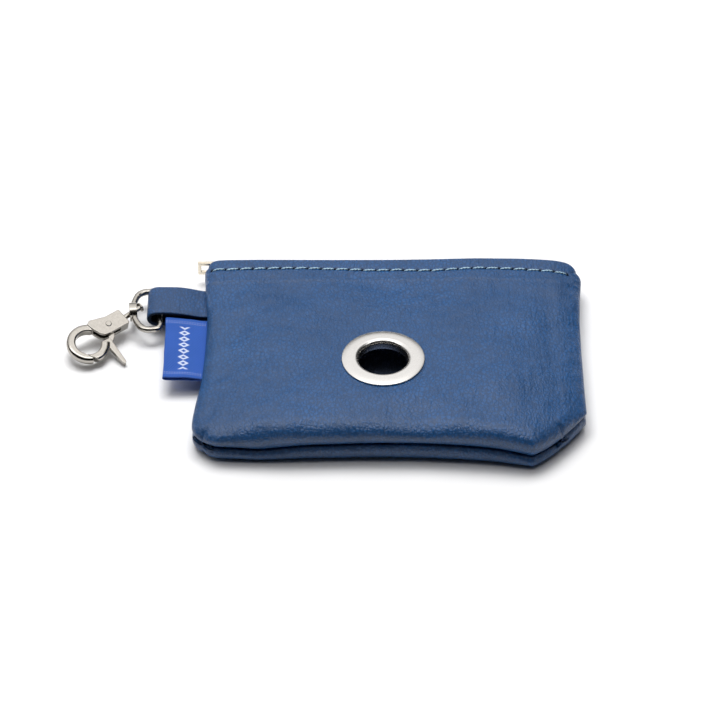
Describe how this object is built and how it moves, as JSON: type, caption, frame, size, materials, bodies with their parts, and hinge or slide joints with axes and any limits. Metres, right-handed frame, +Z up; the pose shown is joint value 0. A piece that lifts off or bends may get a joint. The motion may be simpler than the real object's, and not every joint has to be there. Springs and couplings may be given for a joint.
{
  "type": "zip pouch with eyelet and trigger hook",
  "caption": "Small soft leather zip pouch with a round eyelet in its face for drawing out a roll's end, a side strap with a swivel trigger hook, and a folded ribbon label.",
  "frame": {"origin": "centre of the face that the pouch rests on, under its back panel", "axes": "+X along the zip from its closed end, where the strap and hook are, to the other side; +Y from the bottom seam to the zip; +Z up, out of the face with the eyelet"},
  "size_m": [0.1507, 0.0777, 0.0154],
  "materials": {
    "leather": "fine-grained semi-matte blue leather",
    "thread": "twisted pale blue-grey sewing thread",
    "seam_thread": "white seam thread",
    "eyelet_nickel": "satin nickel plate",
    "hook_nickel": "polished nickel plate over a die casting",
    "zip_metal": "warm light nickel plate",
    "spring_steel": "plain spring wire",
    "zip_tape": "dark navy woven tape",
    "zip_coil": "moulded nylon coil",
    "ribbon": "royal blue twill-woven ribbon"
  },
  "bodies": {
    "pouch": {"front_panel": "leather", "back_panel": "leather", "top_stitching_front": "thread", "top_stitching_back": "thread", "left_seam_thread": "seam_thread", "right_seam_thread": "seam_thread", "bottom_seam_thread": "seam_thread", "eyelet_ring": "eyelet_nickel", "eyelet_washer": "eyelet_nickel", "zip_tape_front": "zip_tape", "zip_tape_back": "zip_tape", "zip_teeth_front": "zip_coil", "zip_teeth_back": "zip_coil", "zip_top_stops": "zip_metal", "zip_bottom_stop": "zip_metal"},
    "slider": {"zip_slider": "zip_metal"},
    "pull": {"zip_pull": "zip_metal"},
    "strap": {"strap_loop": "leather"},
    "label": {"woven_label": "ribbon"},
    "eye": {"swivel_eye": "hook_nickel"},
    "post": {"swivel_post": "hook_nickel"},
    "hook": {"hook_body": "hook_nickel", "gate_rivet": "hook_nickel", "gate_spring": "spring_steel"},
    "gate": {"gate_lever": "hook_nickel"}
  },
  "joints": [
    {"name": "zip_slide", "type": "slide", "parent": "pouch", "child": "slider", "axis": [1, 0, 0], "range_m": [0, 0.0875]},
    {"name": "pull_hinge", "type": "hinge", "parent": "slider", "child": "pull", "pos_m": [-0.0437, 0.0391, 0.0056], "axis": [0, 0, -1], "range_deg": [0, 170]},
    {"name": "strap_flex", "type": "hinge", "parent": "pouch", "child": "strap", "pos_m": [-0.0568, 0.0224, 0.0052], "axis": [0, 1, 0], "range_deg": [-20, 80], "stiffness_Nm_per_rad": 0.02},
    {"name": "label_flex", "type": "hinge", "parent": "pouch", "child": "label", "pos_m": [-0.0568, 0.0044, 0.0052], "axis": [0, 1, 0], "range_deg": [-20, 80], "stiffness_Nm_per_rad": 0.002},
    {"name": "eye_swing", "type": "hinge", "parent": "strap", "child": "eye", "pos_m": [-0.0686, 0.0215, 0.0052], "axis": [-0.1045, 0.9945, 0], "range_deg": [-90, 90]},
    {"name": "swivel_rock", "type": "hinge", "parent": "eye", "child": "post", "pos_m": [-0.07616, 0.02071, 0.0052], "axis": [0, 0, 1], "range_deg": [-72, 0]},
    {"name": "hook_spin", "type": "hinge", "parent": "post", "child": "hook", "pos_m": [-0.07616, 0.02071, 0.0052], "axis": [0.7424, 0.6685, 0.0436], "continuous": true},
    {"name": "gate_swing", "type": "hinge", "parent": "hook", "child": "gate", "pos_m": [-0.08332, 0.01477, 0.00491], "axis": [-0.1646, 0.2452, -0.9554], "range_deg": [0, 20], "stiffness_Nm_per_rad": 0.02, "springref_deg": -17.19}
  ]
}
